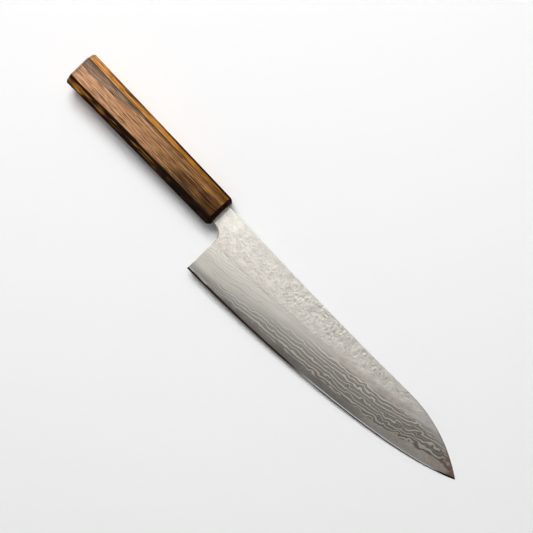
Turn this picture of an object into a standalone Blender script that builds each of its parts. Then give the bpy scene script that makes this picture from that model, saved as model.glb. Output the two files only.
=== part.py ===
"""A gyuto, the Japanese chef's knife, with a 210 mm blade and an octagonal wooden handle.

The knife is built from the pieces that it comes apart into: a steel core that carries the edge and
the tang, a cladding welded to each side of it, the handle, and inside the handle's bore the slotted
dowel that grips the tang and the collar of hard wax that closes the bore's mouth.

Lengths are in metres. The knife lies on its left side, with +X towards the tip, +Y towards the spine
and +Z up. Each piece is shaped about the handle's axis, with X = 0 at the handle's front face and
Z = 0 in the middle of the blade's thickness. One empty then carries all of them to the part's own
frame, whose origin is in the middle of the handle's lower flat.
"""

import math

import bmesh
import bpy
import numpy as np
from mathutils import Matrix

# Blade, seen from the side
BLADE_RUN = 0.2084  # from the heel line to the tip, along X
TIP_DEPTH = 0.0099  # the tip, below the handle's axis
TIP_BLUNTING = 0.00015  # how far the very point is rounded back
HEEL_DEPTH = 0.0385  # the heel's corner, below the handle's axis
NECK_STRAIGHT = 0.0027  # from the handle's front face to the choil's round
NECK_RISE = 0.0067  # the spine at the handle, above its axis
NECK_DEPTH = 0.0075  # the neck's underside, below the handle's axis
CHOIL_RADIUS = 0.0073  # the round between the neck's underside and the heel line
FLAT_EDGE_PULL = 0.0500  # how long the edge keeps the direction that it has at the heel
BELLY_RUN = 0.0351  # the belly's curve is drawn from this far behind the tip
BELLY_DROP = 0.0195  # and from this far below it
NOSE_LENGTH = 0.0544  # from the spine's crest, where it starts to fall, to the tip
NOSE_RUN = 0.0166  # the nose's curve is drawn from this far behind the tip
NOSE_RISE = 0.0111  # and from this far above it
CREST_RISE = 0.0070  # the spine's crest, above the handle's axis
CREST_PULL = 0.0188  # how long the spine keeps level on each side of its crest
HOLLOW_RUN = 0.0500  # the spine's slight hollow is drawn from this far behind the crest
HOLLOW_DROP = 0.0019  # and from this far below the spine at the handle

# Blade, across its thickness
CORE_THICKNESS = 0.0005
CLADDING_THICKNESS = 0.00078  # of each side, along the spine from the handle to the heel line
CLADDING_TIP_THICKNESS = 0.00013  # of each side, along the spine at the tip
FLAT_RELIEF = 0.00008  # how much lower each side lies at the shoulder than at the spine
SHOULDER_HEIGHT = 0.0225  # the top of the ground bevel, above the edge
FLAT_SHARE = 0.25  # the least share of the cladding's height that stays as forged
CORE_SHOWN_AT_HEEL = 0.0030  # the band of bare core steel above the edge
CORE_SHOWN_AT_TIP = 0.0093
MICRO_BEVEL_HEIGHT = 0.0006
MICRO_BEVEL_THICKNESS = 0.00022
EDGE_THICKNESS = 0.00002
WELD_SEAM = 0.00002  # between the core and each cladding

# Handle
HANDLE_LENGTH = 0.1242
BUTT_WIDTH = 0.0240
FRONT_WIDTH = 0.0219
BUTT_THICKNESS = 0.0205
FRONT_THICKNESS = 0.0187
FACET_RUN = 0.0042  # how far each sloping facet reaches in from the side, and down it
BUTT_CHAMFER = 0.0014
FRONT_CHAMFER = 0.0016
BORE_RADIUS = 0.0066
BUTT_WOOD = 0.0194  # the solid wood between the bore's end and the butt

# Tang, dowel and collar, which share the bore
COLLAR_LENGTH = 0.0022
DOWEL_ROOT = 0.0090  # the solid stretch of the dowel behind its saw kerf
TANG_ROOM = 0.0016  # between each edge of the tang and the bore, at the bore's mouth
TANG_END_HEIGHT = 0.0060
TANG_END_CLADDING = 0.00058  # thickness of each side's cladding at the tang's end

CLEARANCE = 0.0003  # between pieces that are glued or that bear on each other
CUT_MARGIN = 0.0020  # how far a cutter runs past the face that it opens
STEP_RUN = 0.00001  # how far a step that is square to the axis runs along it

BLADE_STEPS = 44
CHOIL_STEPS = 8
ROUND_SEGMENTS = 48

HEEL_X = NECK_STRAIGHT + CHOIL_RADIUS
TIP_X = HEEL_X + BLADE_RUN
CREST_X = TIP_X - NOSE_LENGTH
BORE_END_X = BUTT_WOOD - HANDLE_LENGTH
DOWEL_END_X = BORE_END_X + CLEARANCE
KERF_END_X = DOWEL_END_X + DOWEL_ROOT
TANG_END_X = KERF_END_X + CLEARANCE
TANG_HEIGHT = 2 * (BORE_RADIUS - TANG_ROOM)
THICKEST_TANG = CORE_THICKNESS + 2 * (WELD_SEAM + max(CLADDING_THICKNESS, TANG_END_CLADDING))
SLOT_THICKNESS = THICKEST_TANG + 2 * CLEARANCE


def bezier(start, start_pull, end_pull, end, count=200):
    """Points on the cubic curve that leaves start towards start_pull and reaches end from end_pull."""
    t = np.linspace(0.0, 1.0, count)[:, None]
    u = 1.0 - t
    return (
        u**3 * np.array(start)
        + 3 * u**2 * t * np.array(start_pull)
        + 3 * u * t**2 * np.array(end_pull)
        + t**3 * np.array(end)
    )


BACK_CURVE = bezier(
    (0.0, NECK_RISE),
    (CREST_X - HOLLOW_RUN, NECK_RISE - HOLLOW_DROP),
    (CREST_X - CREST_PULL, CREST_RISE),
    (CREST_X, CREST_RISE),
)
NOSE_CURVE = bezier(
    (CREST_X, CREST_RISE),
    (CREST_X + CREST_PULL, CREST_RISE),
    (TIP_X - NOSE_RUN, NOSE_RISE - TIP_DEPTH),
    (TIP_X, -TIP_DEPTH),
)
SPINE_CURVE = np.vstack([BACK_CURVE, NOSE_CURVE[1:]])
EDGE_CURVE = bezier(
    (HEEL_X, -HEEL_DEPTH),
    (HEEL_X + FLAT_EDGE_PULL, -HEEL_DEPTH),
    (TIP_X - BELLY_RUN, -TIP_DEPTH - BELLY_DROP),
    (TIP_X, -TIP_DEPTH),
)


def spine_y(x):
    return float(np.interp(x, SPINE_CURVE[:, 0], SPINE_CURVE[:, 1]))


def edge_y(x):
    return float(np.interp(x, EDGE_CURVE[:, 0], EDGE_CURVE[:, 1]))


def weld_line_y(x):
    """The cladding's lower limit, below which the core steel is bare."""
    shown = np.interp(x, (HEEL_X, TIP_X), (CORE_SHOWN_AT_HEEL, CORE_SHOWN_AT_TIP))
    return edge_y(x) + float(shown)


def cladding_at(x):
    """The thickness of one cladding along the tang, the neck and the spine."""
    places = (TANG_END_X, 0.0, HEEL_X, TIP_X)
    sizes = (TANG_END_CLADDING, CLADDING_THICKNESS, CLADDING_THICKNESS, CLADDING_TIP_THICKNESS)
    return float(np.interp(x, places, sizes))


def tang_and_neck():
    """Sections behind the heel line, as (x, upper y, lower y), from the tang's end to the choil."""
    limits = [
        (TANG_END_X, TANG_END_HEIGHT / 2, -TANG_END_HEIGHT / 2),
        (CLEARANCE - STEP_RUN, TANG_HEIGHT / 2, -TANG_HEIGHT / 2),
        (CLEARANCE, spine_y(CLEARANCE), -NECK_DEPTH),
    ]
    for step in range(CHOIL_STEPS + 1):
        turned = step / CHOIL_STEPS * math.pi / 2
        x = NECK_STRAIGHT + CHOIL_RADIUS * math.sin(turned) - STEP_RUN
        lower = -NECK_DEPTH - CHOIL_RADIUS * (1.0 - math.cos(turned))
        limits.append((x, spine_y(x), lower))
    return limits


def blade_stations():
    """X of each section from the heel line to the point, closer together towards the point."""
    run = TIP_X - TIP_BLUNTING - HEEL_X
    left = np.linspace(1.0, 0.0, BLADE_STEPS + 1) ** 1.5
    return [float(x) for x in HEEL_X + run * (1.0 - left)]


def core_sections():
    """The core's sections from the tang's end to the point: square behind the heel, then an edge."""
    face = CORE_THICKNESS / 2
    bevel = MICRO_BEVEL_THICKNESS / 2
    edge = EDGE_THICKNESS / 2
    halves = [
        (x, [(upper, face), (lower, face), (lower, bevel), (lower, edge)])
        for x, upper, lower in tang_and_neck()
    ]
    for x in blade_stations():
        top, bottom = spine_y(x), edge_y(x)
        height = top - bottom
        bevel_y = bottom + min(MICRO_BEVEL_HEIGHT, height / 3)
        weld_y = min(weld_line_y(x), top - height / 3)
        halves.append((x, [(top, face), (max(weld_y, bevel_y), face), (bevel_y, bevel), (bottom, edge)]))
    return [
        [(x, y, z) for y, z in half] + [(x, y, -z) for y, z in reversed(half)]
        for x, half in halves
    ]


def cladding_sections(side):
    """One cladding's sections. Its inner face lies on the core. Side is +1 on the right, -1 on the left."""
    inner = CORE_THICKNESS / 2 + WELD_SEAM
    sections = []
    for x, upper, lower in tang_and_neck():
        outer = inner + cladding_at(x)
        sections.append((x, [(upper, inner), (upper, outer), (lower, outer), (lower, inner)]))
    for x in blade_stations():
        top, bottom = spine_y(x), weld_line_y(x)
        if top - bottom < MICRO_BEVEL_HEIGHT:
            break
        shoulder = min(edge_y(x) + SHOULDER_HEIGHT, top - FLAT_SHARE * (top - bottom))
        outer = inner + cladding_at(x)
        section = [(top, inner), (top, outer), (shoulder, outer - FLAT_RELIEF), (bottom, inner)]
        sections.append((x, section))
    return [[(x, y, side * z) for y, z in section] for x, section in sections]


def material(name, color, roughness, metallic=0.0):
    made = bpy.data.materials.new(name)
    made.use_nodes = True
    shader = made.node_tree.nodes["Principled BSDF"]
    shader.inputs["Base Color"].default_value = (*color, 1.0)
    shader.inputs["Roughness"].default_value = roughness
    shader.inputs["Metallic"].default_value = metallic
    made.diffuse_color = (*color, 1.0)
    return made


def collection(name):
    made = bpy.data.collections.new(name)
    bpy.context.scene.collection.children.link(made)
    return made


def place(name, shape, group, parent, finish=None):
    """Turns a bmesh in the handle's frame into an object that the parent empty carries."""
    shape.normal_update()
    bmesh.ops.recalc_face_normals(shape, faces=shape.faces)
    mesh = bpy.data.meshes.new(name)
    shape.to_mesh(mesh)
    shape.free()
    if finish:
        mesh.materials.append(finish)
    made = bpy.data.objects.new(name, mesh)
    made.parent = parent
    group.objects.link(made)
    return made


def loft(sections):
    """A closed skin over sections that all have the same number of points, with flat ends."""
    shape = bmesh.new()
    rings = [[shape.verts.new(point) for point in section] for section in sections]
    count = len(rings[0])
    for near, far in zip(rings, rings[1:]):
        for i in range(count):
            j = (i + 1) % count
            shape.faces.new((near[i], near[j], far[j], far[i]))
    shape.faces.new(rings[0])
    shape.faces.new(rings[-1])
    return shape


def rod(back_x, front_x, radius):
    """A solid cylinder about the handle's axis."""
    shape = bmesh.new()
    middle = Matrix.Translation(((back_x + front_x) / 2, 0.0, 0.0))
    bmesh.ops.create_cone(
        shape,
        cap_ends=True,
        segments=ROUND_SEGMENTS,
        radius1=radius,
        radius2=radius,
        depth=front_x - back_x,
        matrix=middle @ Matrix.Rotation(math.pi / 2, 4, "Y"),
    )
    return shape


def bar(back_x, front_x, height, thickness):
    """A rectangular bar about the handle's axis, with its height along Y."""
    shape = bmesh.new()
    middle = Matrix.Translation(((back_x + front_x) / 2, 0.0, 0.0))
    size = Matrix.Diagonal((front_x - back_x, height, thickness, 1.0))
    bmesh.ops.create_cube(shape, size=1.0, matrix=middle @ size)
    return shape


def chamfer(shape, edges, run):
    bmesh.ops.bevel(shape, geom=edges, offset=run, segments=1, affect="EDGES")


def tapered_octagon():
    """The handle's outside: a tapered block with its long edges and then both ends planed off."""
    shape = bar(-HANDLE_LENGTH, 0.0, 1.0, 1.0)
    for vert in shape.verts:
        at_butt = vert.co.x < -HANDLE_LENGTH / 2
        vert.co.y *= BUTT_WIDTH if at_butt else FRONT_WIDTH
        vert.co.z *= BUTT_THICKNESS if at_butt else FRONT_THICKNESS
    chamfer(shape, [e for e in shape.edges if e.calc_length() > HANDLE_LENGTH / 2], FACET_RUN)
    for end_x, run in ((-HANDLE_LENGTH, BUTT_CHAMFER), (0.0, FRONT_CHAMFER)):
        rim = [e for e in shape.edges if all(abs(v.co.x - end_x) < STEP_RUN for v in e.verts)]
        chamfer(shape, rim, run)
    return shape


def cut(target, cutter):
    made = target.modifiers.new("cut_by_" + cutter.name, "BOOLEAN")
    made.operation = "DIFFERENCE"
    made.solver = "EXACT"
    made.object = cutter


def smooth(target):
    target.data.shade_smooth()
    target.data.set_sharp_from_angle(angle=math.radians(30))


def build_blade(group, parent):
    core_steel = material("core_steel", (0.42, 0.41, 0.40), 0.35, 1.0)
    layered_steel = material("layered_steel", (0.60, 0.59, 0.57), 0.42, 1.0)
    place("blade_core", loft(core_sections()), group, parent, core_steel)
    place("cladding_right", loft(cladding_sections(1)), group, parent, layered_steel)
    place("cladding_left", loft(cladding_sections(-1)), group, parent, layered_steel)


def build_handle(group, cutters, parent):
    oak = material("burnt_oak", (0.20, 0.095, 0.040), 0.48)
    handle = place("handle_body", tapered_octagon(), group, parent, oak)
    bore = rod(BORE_END_X, CUT_MARGIN, BORE_RADIUS)
    cut(handle, place("bore_cutter", bore, cutters, parent))


def build_collar(group, cutters, parent):
    """The disc of hard wax that closes the bore's mouth round the tang."""
    wax = material("hard_wax", (0.035, 0.022, 0.015), 0.4)
    disc = rod(-COLLAR_LENGTH, 0.0, BORE_RADIUS - CLEARANCE)
    collar = place("bore_collar", disc, group, parent, wax)
    slot = bar(
        -COLLAR_LENGTH - CUT_MARGIN,
        CUT_MARGIN,
        TANG_HEIGHT + 2 * CLEARANCE,
        SLOT_THICKNESS,
    )
    cut(collar, place("collar_slot_cutter", slot, cutters, parent))
    smooth(collar)


def build_dowel(group, cutters, parent):
    """The dowel that fills the bore, sawn down its middle to take the tang."""
    magnolia = material("pale_magnolia", (0.62, 0.50, 0.33), 0.6)
    front_x = -COLLAR_LENGTH - CLEARANCE
    dowel = place(
        "tang_dowel",
        rod(DOWEL_END_X, front_x, BORE_RADIUS - CLEARANCE),
        group,
        parent,
        magnolia,
    )
    kerf = bar(KERF_END_X, front_x + CUT_MARGIN, 2 * BORE_RADIUS, SLOT_THICKNESS)
    cut(dowel, place("kerf_cutter", kerf, cutters, parent))
    smooth(dowel)


def main():
    for old in list(bpy.data.objects):
        bpy.data.objects.remove(old, do_unlink=True)
    knife = collection("gyuto_knife")
    cutters = collection("cutters")
    lower_flat = bpy.data.objects.new("lower_flat_centre", None)
    lower_flat.location = (HANDLE_LENGTH / 2, 0.0, (BUTT_THICKNESS + FRONT_THICKNESS) / 4)
    knife.objects.link(lower_flat)

    build_blade(knife, lower_flat)
    build_handle(knife, cutters, lower_flat)
    build_collar(knife, cutters, lower_flat)
    build_dowel(knife, cutters, lower_flat)
    for cutter in cutters.objects:
        cutter.hide_render = True
        cutter.display_type = "WIRE"


main()
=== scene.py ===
# %% [markdown]
# # A gyuto, the Japanese chef's knife, on a pale table
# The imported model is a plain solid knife: a three-layer blade, an octagonal handle, and inside the handle a
# dowel and a wax collar that hold the tang. Its sizes are right, but it has no skin yet: no forge dents, no
# wavy lines of layered steel, no scorched grain.
#
# This lesson gives each piece that skin. Shapes are worked out with numpy as whole arrays of points, and
# finishes are built from shader nodes, so nothing here needs a picture.

# %% Load the solid knife
import math

import bpy
import numpy as np
from mathutils import Matrix, Vector


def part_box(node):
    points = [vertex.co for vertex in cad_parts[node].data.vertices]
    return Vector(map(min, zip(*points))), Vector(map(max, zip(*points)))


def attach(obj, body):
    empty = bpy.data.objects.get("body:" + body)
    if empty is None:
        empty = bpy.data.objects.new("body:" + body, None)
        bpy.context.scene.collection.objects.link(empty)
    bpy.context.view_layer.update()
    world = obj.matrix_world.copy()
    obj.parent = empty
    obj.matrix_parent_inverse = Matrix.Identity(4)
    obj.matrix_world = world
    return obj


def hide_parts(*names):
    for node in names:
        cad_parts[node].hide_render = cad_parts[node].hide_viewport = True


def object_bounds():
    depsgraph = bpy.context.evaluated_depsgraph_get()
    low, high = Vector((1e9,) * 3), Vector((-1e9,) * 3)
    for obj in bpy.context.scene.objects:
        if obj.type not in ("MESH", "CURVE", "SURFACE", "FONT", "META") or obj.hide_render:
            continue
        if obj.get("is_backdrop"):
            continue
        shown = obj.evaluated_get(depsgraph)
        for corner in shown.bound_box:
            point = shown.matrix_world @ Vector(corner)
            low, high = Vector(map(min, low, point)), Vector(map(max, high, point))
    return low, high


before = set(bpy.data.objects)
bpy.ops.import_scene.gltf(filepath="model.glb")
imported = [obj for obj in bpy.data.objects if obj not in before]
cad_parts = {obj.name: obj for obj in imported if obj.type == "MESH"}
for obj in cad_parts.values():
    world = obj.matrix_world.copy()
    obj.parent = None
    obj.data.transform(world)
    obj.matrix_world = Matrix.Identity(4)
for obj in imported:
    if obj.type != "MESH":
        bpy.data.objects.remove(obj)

cad_box = [list(corner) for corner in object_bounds()]
for name in sorted(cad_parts):
    low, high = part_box(name)
    print(name, [round((b - a) * 1000, 1) for a, b in zip(low, high)], "mm")

# %% [markdown]
# ## Where things are measured from
# A knifemaker measures a blade from the handle's front face and from the middle of its thickness, in
# millimetres. The shapes below do the same, and one function moves them into the model's frame, which is in
# metres. The two offsets come from the solid pieces themselves.

# %% Maker's frame
HANDLE_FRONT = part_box("handle_body")[1].x
BLADE_MIDDLE = sum(corner.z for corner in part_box("blade_core")) / 2


def to_model(points):
    """Maker's millimetres to model metres: divide by 1000, then add the two offsets."""
    return points * 0.001 + np.array([HANDLE_FRONT, 0.0, BLADE_MIDDLE])


print("handle front at x", round(HANDLE_FRONT, 4), "blade middle at z", round(BLADE_MIDDLE, 4))

# %% [markdown]
# ## Camera
# The knife is seen from 0.7 m, square to the blade. Only the camera's roll has to be found, and it follows
# from the way the knife lies across the picture: its axis runs from the upper left to the lower right at
# about 46 degrees. The handle stands nearer to the camera than the blade, so it looks a little longer.

# %% Set up the camera
VIEW_CENTRE = Vector((HANDLE_FRONT + 0.0433, -0.0025, BLADE_MIDDLE))
VIEW_DISTANCE = 0.700
FIELD_WIDTH = 0.3289
SENSOR_WIDTH = 36.0
AXIS_DOWN, AXIS_RIGHT = 0.7202, 0.6938


def new_object(name, data):
    piece = bpy.data.objects.new(name, data)
    bpy.context.scene.collection.objects.link(piece)
    return piece


camera = new_object("camera", bpy.data.cameras.new("camera"))
turn = Matrix.Rotation(math.atan2(AXIS_DOWN, AXIS_RIGHT), 4, "Z")
camera.matrix_world = Matrix.Translation(VIEW_CENTRE + Vector((0, 0, VIEW_DISTANCE))) @ turn
camera.data.sensor_width = SENSOR_WIDTH
camera.data.lens = SENSOR_WIDTH * VIEW_DISTANCE / FIELD_WIDTH
camera.data.clip_end = 50.0
bpy.context.scene.camera = camera
bpy.context.scene.view_settings.view_transform = "Standard"
print("lens", round(camera.data.lens, 1), "mm")

# %% [markdown]
# ## Meshes from arrays
# Every new piece here is one closed skin: a ring of points that is carried from one end of the piece to the
# other. Stacking the rings in one array of shape (rings, points, 3) gives all corners of the mesh at once,
# and the faces follow from the row and column numbers alone. A fan of triangles closes each end.
#
# The volume inside the skin says whether its faces point outwards: it comes out negative when they do not,
# and then all faces are turned over.

# %% Mesh objects and closed skins
def mesh_object(name, points, faces, material):
    """One object at the origin, from points in metres and lists of corner numbers."""
    mesh = bpy.data.meshes.new(name)
    mesh.from_pydata(points.tolist(), [], faces)
    mesh.materials.append(material)
    return new_object(name, mesh)


def closed_piece(name, points, parts, material):
    """A smooth object from arrays of faces, which are turned over if they point inwards.
    Volume = sum over triangles of a . (b x c) / 6, where a, b and c are a triangle's corners."""
    triangles = np.vstack([part[:, [0, k, k + 1]] for part in parts for k in range(1, part.shape[1] - 1)])
    a, b, c = (points[triangles[:, k]] for k in range(3))
    volume = np.einsum("ij,ij->i", a, np.cross(b, c)).sum() / 6
    turned = parts if volume > 0 else [part[:, ::-1] for part in parts]
    piece = mesh_object(name, points, [face for part in turned for face in part.tolist()], material)
    piece.data.shade_smooth()
    piece.data.set_sharp_from_angle(angle=math.radians(38))
    print(name, len(triangles), "triangles,", round(abs(volume) * 1e9), "mm3")
    return piece


def band(index):
    """Quads between each row of corner numbers and the next one, wrapping round along the rows."""
    after = np.roll(index, -1, axis=1)
    return np.stack([index[:-1], after[:-1], after[1:], index[1:]], axis=-1).reshape(-1, 4)


def skin(name, rings, material, uv=None, **marks):
    """Quads between all rings, and a fan to the mean point at each end.
    Each mark is a value for every point, kept on the mesh for the material to read."""
    index = np.arange(rings[..., 0].size).reshape(rings.shape[:2])
    after = np.roll(index, -1, axis=1)
    first = np.stack([after[0], index[0], 0 * index[0] + index.size], axis=-1)
    last = np.stack([index[-1], after[-1], 0 * index[0] + index.size + 1], axis=-1)
    points = to_model(np.vstack([rings.reshape(-1, 3), rings[0].mean(axis=0), rings[-1].mean(axis=0)]))
    piece = closed_piece(name, points, [band(index), first, last], material)
    mesh = piece.data
    if uv is not None:
        corners = np.empty(len(mesh.loops), dtype=np.int32)
        mesh.loops.foreach_get("vertex_index", corners)
        flow = np.vstack([uv.reshape(-1, 2), uv[0].mean(axis=0), uv[-1].mean(axis=0)])
        layer = mesh.uv_layers.new(name="flow")
        layer.data.foreach_set("uv", flow[corners].astype(np.float32).ravel())
    for label, values in marks.items():
        full = np.append(values.ravel(), [values[0].mean(), values[-1].mean()])
        attribute = mesh.attributes.new(label, "FLOAT", "POINT")
        attribute.data.foreach_set("value", full.astype(np.float32))
    return piece


def ring_skin(name, rings, material):
    """A ring that closes on itself in both directions has no ends, so it is joined without fans."""
    index = np.arange(rings[..., 0].size).reshape(rings.shape[:2])
    faces = band(np.vstack([index, index[:1]]))
    return closed_piece(name, to_model(rings.reshape(-1, 3)), [faces], material)


# %% [markdown]
# ## Even randomness
# Hammer scale and hand work are random, but the same knife has to come out every time. A table of random
# heights with a fixed seed, blended smoothly between its lattice points, gives a field that never changes.

# %% Smooth noise on arrays
def noise(x, y, seed):
    """Random heights at whole-number places, blended between them with the weight 3t^2 - 2t^3."""
    table = np.random.default_rng(seed).random((97, 89))
    col, row = np.floor(x).astype(int), np.floor(y).astype(int)
    s, t = (f * f * (3 - 2 * f) for f in (x - col, y - row))
    near = table[col % 97, row % 89] * (1 - s) + table[(col + 1) % 97, row % 89] * s
    far = table[col % 97, (row + 1) % 89] * (1 - s) + table[(col + 1) % 97, (row + 1) % 89] * s
    return near * (1 - t) + far * t - 0.5


def layered_noise(x, y, seed):
    """Sum of three noise fields, each twice as fine and half as strong as the one before it."""
    return sum(noise(x * 2**k, y * 2**k, seed + k) / 2**k for k in range(3))


def ease(x, low, high):
    """0 below low, 1 above high, and 3t^2 - 2t^3 in between. It falls if low is the larger."""
    t = np.clip((x - low) / (high - low), 0, 1)
    return t * t * (3 - 2 * t)


# %% [markdown]
# ## The blade's outline
# Seen from the side, a gyuto has a nearly straight spine that drops to the tip in one long curve, and an edge
# that is flat at the heel and sweeps up in a belly. Each is a cubic Bezier curve: four corners pull a smooth
# line, which is how a maker's template is drawn as well. The neck leaves the handle's finished face at FRONT_X.

# %% Spine and edge
FRONT_X = 0.3
NECK_RISE, NECK_DEPTH, NECK_STRAIGHT, CHOIL_RADIUS = 6.7, 7.5, 2.7, 7.3
HEEL_X, HEEL_DEPTH = 10.0, 38.5
TIP_X, TIP_DEPTH = 218.8, 10.0
CREST_X, CREST_RISE = 164.0, 7.0


def bezier(*corners):
    """Each point is the mean of four corners, weighted (1-t)^3, 3(1-t)^2 t, 3(1-t) t^2 and t^3."""
    t = np.linspace(0, 1, 300)[:, None]
    weights = ((1 - t) ** 3, 3 * (1 - t) ** 2 * t, 3 * (1 - t) * t**2, t**3)
    return sum(weight * np.array(corner) for weight, corner in zip(weights, corners))


back = bezier((0, NECK_RISE), (114, 4.8), (CREST_X - 18.8, CREST_RISE), (CREST_X, CREST_RISE))
nose = bezier((CREST_X, CREST_RISE), (CREST_X + 18.8, CREST_RISE), (TIP_X - 16.6, 1.2), (TIP_X, -TIP_DEPTH))
belly = bezier((HEEL_X, -HEEL_DEPTH), (HEEL_X + 50, -HEEL_DEPTH), (TIP_X - 45, -32.0), (TIP_X, -TIP_DEPTH))
spine = np.vstack([back, nose[1:]])


def spine_y(x):
    return np.interp(x, *spine.T)


def edge_y(x):
    return np.interp(x, *belly.T)


print("heel height", round(float(spine_y(HEEL_X) - edge_y(HEEL_X)), 1), "mm")

# %% [markdown]
# ## The blade's thickness
# The steel is forged with nearly flat sides and then ground: from a line some 23 mm above the edge, a bevel
# runs down to the edge. What remains is whichever surface is lower, so the skin is a soft minimum of two
# heights: the forged side with its dents, and the bevel, which is ground a little convex, so that it turns
# away more and more towards the edge. The layered cladding stops a few millimetres above the edge, at the
# weld line, where the hard core comes out. Because the layers were hammered, that line is not straight.

# %% Heights of forged side, bevel and weld line
CORE_HALF = 0.25
CLADDING_INNER = 0.27
TANG_END_X = -95.2
EDGE_HALF, NARROW_HALF, MICRO_BEVEL = 0.01, 0.10, 0.6
SHOULDER, BEVEL_STRAIGHT = 23.2, 0.10
FORGED_FALL = 0.08
WELD_LOWEST = 1.2
CORNER_ROUND = 0.30
RIM_WIDTH = 0.45


def weld_slow(x):
    stops = (10, 24, 37, 49, 61, 80, 150, 168, 184, 202, 208, 213, 218)
    return np.interp(x, stops, (1.2, 1.5, 2.3, 3.8, 4.4, 5.0, 5.4, 5.4, 7.6, 7.2, 5.3, 3.4, 1.2))


def weld_jag(x):
    strength = np.interp(x, (8, 20, 60, 90, 180, 200, 208), (0, 1.4, 1.4, 1, 1.2, 1.2, 0.3))
    return strength * (1.6 * noise(x / 4.0, x * 0 + 2.5, 5) + 0.8 * noise(x / 2.0, x * 0 + 7.5, 6))


def weld_height(x):
    """Height of the weld line above the edge: a slow rise towards the tip plus a jagged wander."""
    return np.maximum(weld_slow(x) + weld_jag(x), WELD_LOWEST)


def layer_height(x, v):
    """Height above the weld line, where the line's jags fade out upwards over some 7 mm."""
    fade = np.exp(-np.clip(v - weld_slow(x), 0, None) / 7.0)
    return v - weld_slow(x) - weld_jag(x) * fade


def cladding_thickness(x):
    return np.interp(x, (TANG_END_X, 0, HEEL_X, TIP_X), (0.58, 0.78, 0.78, 0.13))


def shoulder_height(x):
    """A constant height above the edge, but at most 0.93 of the blade's own height."""
    return np.minimum(SHOULDER, 0.93 * (spine_y(x) - edge_y(x)))


def bevel_height(x, v):
    """Half thickness at v mm above the edge, with t = 0 on top of the narrow bevel and 1 at the shoulder. It
    grows as (1 - k) (1 - (1 - t)^3.3) + k t. Above the shoulder it leaves the steel, by a further t - 1."""
    shoulder = shoulder_height(x)
    thick = CLADDING_INNER + cladding_thickness(x) - FORGED_FALL
    t = np.clip((v - MICRO_BEVEL) / (shoulder - MICRO_BEVEL), 0, None)
    convex = 1 - np.clip(1 - t, 0, None) ** 3.3
    shape = BEVEL_STRAIGHT * t + (1 - BEVEL_STRAIGHT) * convex + np.clip(t - 1, 0, None)
    narrow = EDGE_HALF + v * (NARROW_HALF - EDGE_HALF) / MICRO_BEVEL
    return np.where(v < MICRO_BEVEL, narrow, NARROW_HALF + (thick - NARROW_HALF) * shape)


def forged_height(x, y, seed):
    """Half thickness of the forged side: the cladding's, a little less lower down, plus shallow dents and pits.
    They are deepest by the spine and fade out towards the shoulder, whose line wavers a little. Below that line
    the forged side is lifted clear of the bevel."""
    fall = FORGED_FALL * np.clip((spine_y(x) - y) / 22.0, 0, 1)
    rough = np.interp(x, (0, 50, 85, 130, 170, 218), (0.35, 0.65, 1.5, 1.8, 1.4, 0.7))
    dents = 0.055 * layered_noise(x / 2.3, y / 2.6, seed) + 0.07 * noise(x / 8.0, y / 6.0, seed + 5)
    pits = 0.060 * ease(noise(x / 1.4, y / 1.7, seed + 9), 0.18, 0.40)
    over = y - edge_y(x) - shoulder_height(x) + 1.6 * noise(x / 7.0, y * 0, seed + 3)
    rough = rough * ease(over, -1.5, 12.0)
    lifted = 0.3 * ease(-over, 0.3, 2.5)
    return CLADDING_INNER + cladding_thickness(x) - fall + rough * (dents - pits) + lifted


def choil_distance(x, y):
    """Distance from the choil's arc, whose centre lies straight below the neck's end."""
    return np.hypot(x - NECK_STRAIGHT, y + NECK_DEPTH + CHOIL_RADIUS) - CHOIL_RADIUS


def corner_round(x, y):
    """How far a rounded corner of radius r lies below the flat at distance d: r - sqrt(r^2 - (r - d)^2)."""
    back = np.where(x < NECK_STRAIGHT, y + NECK_DEPTH, choil_distance(x, y))
    back = np.where(y < -NECK_DEPTH - CHOIL_RADIUS, x - HEEL_X, back)
    d = np.clip(np.minimum(back, spine_y(x) - y), 0, CORNER_ROUND)
    drop = CORNER_ROUND - np.sqrt(CORNER_ROUND**2 - (CORNER_ROUND - d) ** 2)
    return np.where(x < 0, 0, drop)


def painted_rim_shade(x, y):
    """Strength of the painted shade along the steel's outline: exp(-(distance / width)^2) from the spine near
    the tip, and at the choil.
    """
    spine_side = 0.65 * ease(x, 130, 180) * np.exp(-(((spine_y(x) - y) / RIM_WIDTH) ** 2))
    back = np.where(x < HEEL_X + 2, choil_distance(x, y), 9.0)
    back = np.where(x < NECK_STRAIGHT, y + NECK_DEPTH, back)
    return np.maximum(spine_side, 0.9 * ease(y, -17, -11) * np.exp(-((back / RIM_WIDTH) ** 2)))


# %% [markdown]
# ## Lines across the blade
# To cover the blade with a grid, straight lines are drawn from the spine to its lower limit. Behind the heel
# the lower limit turns two corners: along the neck, round the choil and down the heel line. The lines fan out
# there, so that the grid follows all of them without a seam.

# %% Ruled lines from spine to lower limit
CHOIL_LINES, HEEL_LINES = 19, 41
CHOIL_TOP_X = 8.5
HEEL_LEAN = 7.0


def on_spine(x):
    return np.stack([x, spine_y(x)], 1)


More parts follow.
